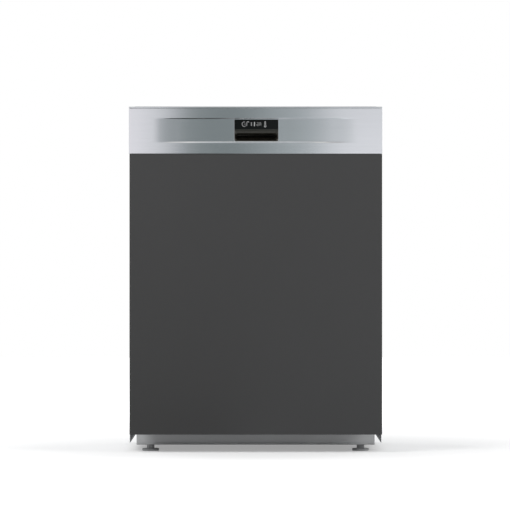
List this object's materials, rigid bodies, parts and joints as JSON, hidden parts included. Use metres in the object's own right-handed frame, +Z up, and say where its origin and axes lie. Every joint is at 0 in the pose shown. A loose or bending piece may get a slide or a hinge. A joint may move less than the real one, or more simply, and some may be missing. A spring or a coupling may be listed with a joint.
{
  "type": "built-in dishwasher",
  "caption": "Built-in dishwasher with a brushed steel fascia, a pocket grip and window in a long channel, and a plain dark furniture panel under it.",
  "frame": {"origin": "on the floor, under the middle of the whole appliance's box, with the feet wound in", "axes": "+Z up, front towards -Y, +X to the right seen from the front"},
  "size_m": [0.598, 0.57, 0.818],
  "materials": {
    "stainless_brushed": "fine horizontal brushing, satin",
    "stainless_tub": "smooth rolled",
    "zinc_steel": "zinc coated, dull",
    "graphite_front": "fibreboard under a matt graphite lacquer",
    "black_plastic": "fine grain",
    "black_glass": "clear gloss over black",
    "grey_plastic": "satin",
    "dark_plastic": "satin",
    "light_plastic": "satin",
    "natural_plastic": "translucent natural",
    "base_plastic": "moulded, fine grain",
    "plinth_steel": "light grey lacquer",
    "rubber": "matt",
    "bitumen": "matt",
    "pump_plastic": "satin",
    "valve_plastic": "satin",
    "rack_wire": "grey nylon coating",
    "tine_wire": "grey nylon coating",
    "rail_steel": "bright rolled",
    "cutlery_plastic": "satin",
    "arm_plastic": "satin",
    "filter_steel": "perforated",
    "key_metal": "silver, satin",
    "board": "solder mask",
    "spring_steel": "drawn wire",
    "float_foam": "foam"
  },
  "bodies": {
    "cabinet": {"base_tray": "base_plastic", "plinth_plate": "plinth_steel", "side_panels": "zinc_steel", "top_cover": "zinc_steel", "rear_cover": "zinc_steel", "front_rail": "zinc_steel", "tub_wrap": "stainless_tub", "tub_back_wall": "stainless_tub", "tub_floor": "stainless_tub", "door_gasket": "rubber", "deadening_mats": "bitumen", "sump": "dark_plastic", "circulation_pump": "pump_plastic", "drain_pump": "pump_plastic", "inlet_valve": "valve_plastic", "hose_connectors": "dark_plastic", "water_softener": "natural_plastic", "water_chamber": "natural_plastic", "filter_plate": "filter_steel", "spray_duct": "arm_plastic", "float_switch": "float_foam", "hinge_brackets": "zinc_steel", "door_springs": "spring_steel", "tub_rails": "rail_steel", "rear_foot_shaft": "zinc_steel"},
    "salt_cap": {"salt_cap": "light_plastic"},
    "filter_cylinder": {"filter_cylinder": "grey_plastic"},
    "lower_spray_arm": {"lower_spray_arm": "arm_plastic"},
    "foot_front_left": {"foot_front_left": "base_plastic"},
    "foot_front_right": {"foot_front_right": "base_plastic"},
    "foot_rear": {"foot_rear": "base_plastic"},
    "door": {"furniture_panel": "graphite_front", "fascia": "stainless_brushed", "grip_moulding": "black_plastic", "display_glass": "black_glass", "control_housing": "dark_plastic", "control_board": "board", "door_skin": "zinc_steel", "door_liner": "stainless_tub", "hinge_arms": "zinc_steel", "door_latch": "black_plastic", "dispenser": "grey_plastic"},
    "dispenser_lid": {"dispenser_lid": "grey_plastic"},
    "rinse_aid_cap": {"rinse_aid_cap": "light_plastic"},
    "power_key": {"power_key": "key_metal"},
    "program_key": {"program_key": "key_metal"},
    "option_key": {"option_key": "key_metal"},
    "start_key": {"start_key": "key_metal"},
    "lower_rack": {"lower_basket": "rack_wire"},
    "fold_tines_left": {"fold_tines_left": "tine_wire"},
    "fold_tines_right": {"fold_tines_right": "tine_wire"},
    "front_wheels": {"front_wheels": "grey_plastic"},
    "rear_wheels": {"rear_wheels": "grey_plastic"},
    "cutlery_basket": {"cutlery_basket": "cutlery_plastic"},
    "upper_rack": {"upper_basket": "rack_wire", "feed_tube": "arm_plastic"},
    "cup_shelf_left": {"cup_shelf_left": "tine_wire"},
    "cup_shelf_right": {"cup_shelf_right": "tine_wire"},
    "upper_spray_arm": {"upper_spray_arm": "arm_plastic"},
    "middle_rails": {"middle_rails": "rail_steel"}
  },
  "joints": [
    {"name": "door_hinge", "type": "hinge", "parent": "cabinet", "child": "door", "pos_m": [0, -0.253, 0.088], "axis": [1, 0, 0], "range_deg": [0, 90], "deforming": ["door_springs"]},
    {"name": "lower_rack_slide", "type": "slide", "parent": "cabinet", "child": "lower_rack", "axis": [0, -1, 0], "range_m": [0, 0.5]},
    {"name": "upper_rack_slide", "type": "slide", "parent": "cabinet", "child": "upper_rack", "axis": [0, -1, 0], "range_m": [0, 0.45]},
    {"name": "middle_rails_slide", "type": "slide", "parent": "cabinet", "child": "middle_rails", "axis": [0, -1, 0], "range_m": [0, 0.225]},
    {"name": "front_wheels_roll", "type": "hinge", "parent": "lower_rack", "child": "front_wheels", "pos_m": [0, -0.092, 0.1523], "axis": [1, 0, 0], "range_deg": [0, 1500]},
    {"name": "rear_wheels_roll", "type": "hinge", "parent": "lower_rack", "child": "rear_wheels", "pos_m": [0, 0.166, 0.1523], "axis": [1, 0, 0], "range_deg": [0, 1500]},
    {"name": "fold_tines_left_turn", "type": "hinge", "parent": "lower_rack", "child": "fold_tines_left", "pos_m": [-0.02, 0.022, 0.1819], "axis": [0, -1, 0], "range_deg": [0, 90]},
    {"name": "fold_tines_right_turn", "type": "hinge", "parent": "lower_rack", "child": "fold_tines_right", "pos_m": [0.075, 0.022, 0.1819], "axis": [0, -1, 0], "range_deg": [0, 90]},
    {"name": "cutlery_basket_lift", "type": "slide", "parent": "lower_rack", "child": "cutlery_basket", "axis": [0, 0, 1], "range_m": [0, 0.1]},
    {"name": "cup_shelf_left_turn", "type": "hinge", "parent": "upper_rack", "child": "cup_shelf_left", "pos_m": [-0.221, 0.022, 0.58536], "axis": [0, -1, 0], "range_deg": [0, 90]},
    {"name": "cup_shelf_right_turn", "type": "hinge", "parent": "upper_rack", "child": "cup_shelf_right", "pos_m": [0.221, 0.022, 0.58536], "axis": [0, 1, 0], "range_deg": [0, 90]},
    {"name": "upper_spray_arm_spin", "type": "hinge", "parent": "upper_rack", "child": "upper_spray_arm", "pos_m": [0, 0.0165, 0.452], "axis": [0, 0, 1], "continuous": true},
    {"name": "lower_spray_arm_spin", "type": "hinge", "parent": "cabinet", "child": "lower_spray_arm", "pos_m": [0, 0.0165, 0.154], "axis": [0, 0, 1], "continuous": true},
    {"name": "filter_cylinder_turn", "type": "hinge", "parent": "cabinet", "child": "filter_cylinder", "pos_m": [0, -0.0685, 0.13], "axis": [0, 0, 1], "range_deg": [0, 90]},
    {"name": "salt_cap_turn", "type": "hinge", "parent": "cabinet", "child": "salt_cap", "pos_m": [-0.15, -0.0795, 0.13], "axis": [0, 0, 1], "range_deg": [0, 120]},
    {"name": "dispenser_lid_slide", "type": "slide", "parent": "door", "child": "dispenser_lid", "axis": [1, 0, 0], "range_m": [0, 0.06]},
    {"name": "rinse_aid_cap_turn", "type": "hinge", "parent": "door", "child": "rinse_aid_cap", "pos_m": [0.082, -0.21, 0.498], "axis": [0, 1, 0], "range_deg": [0, 90]},
    {"name": "power_key_press", "type": "slide", "parent": "door", "child": "power_key", "axis": [0, 0, -1], "range_m": [0, 0.0012], "stiffness_N_per_m": 600, "springref_m": -0.002},
    {"name": "program_key_press", "type": "slide", "parent": "door", "child": "program_key", "axis": [0, 0, -1], "range_m": [0, 0.0012], "stiffness_N_per_m": 600, "springref_m": -0.002},
    {"name": "option_key_press", "type": "slide", "parent": "door", "child": "option_key", "axis": [0, 0, -1], "range_m": [0, 0.0012], "stiffness_N_per_m": 600, "springref_m": -0.002},
    {"name": "start_key_press", "type": "slide", "parent": "door", "child": "start_key", "axis": [0, 0, -1], "range_m": [0, 0.0012], "stiffness_N_per_m": 600, "springref_m": -0.002},
    {"name": "foot_front_left_screw", "type": "slide", "parent": "cabinet", "child": "foot_front_left", "axis": [0, 0, -1], "range_m": [0, 0.06]},
    {"name": "foot_front_right_screw", "type": "slide", "parent": "cabinet", "child": "foot_front_right", "axis": [0, 0, -1], "range_m": [0, 0.06]},
    {"name": "foot_rear_screw", "type": "slide", "parent": "cabinet", "child": "foot_rear", "axis": [0, 0, -1], "range_m": [0, 0.06]}
  ],
  "couplings": [
    {"joint": "lower_rack_slide", "follows": "door_hinge", "m_per_rad": 0.12414},
    {"joint": "upper_rack_slide", "follows": "door_hinge", "m_per_rad": 0.26738},
    {"joint": "middle_rails_slide", "follows": "door_hinge", "m_per_rad": 0.13369},
    {"joint": "front_wheels_roll", "follows": "door_hinge", "ratio": 6.5337},
    {"joint": "rear_wheels_roll", "follows": "door_hinge", "ratio": 6.5337}
  ]
}
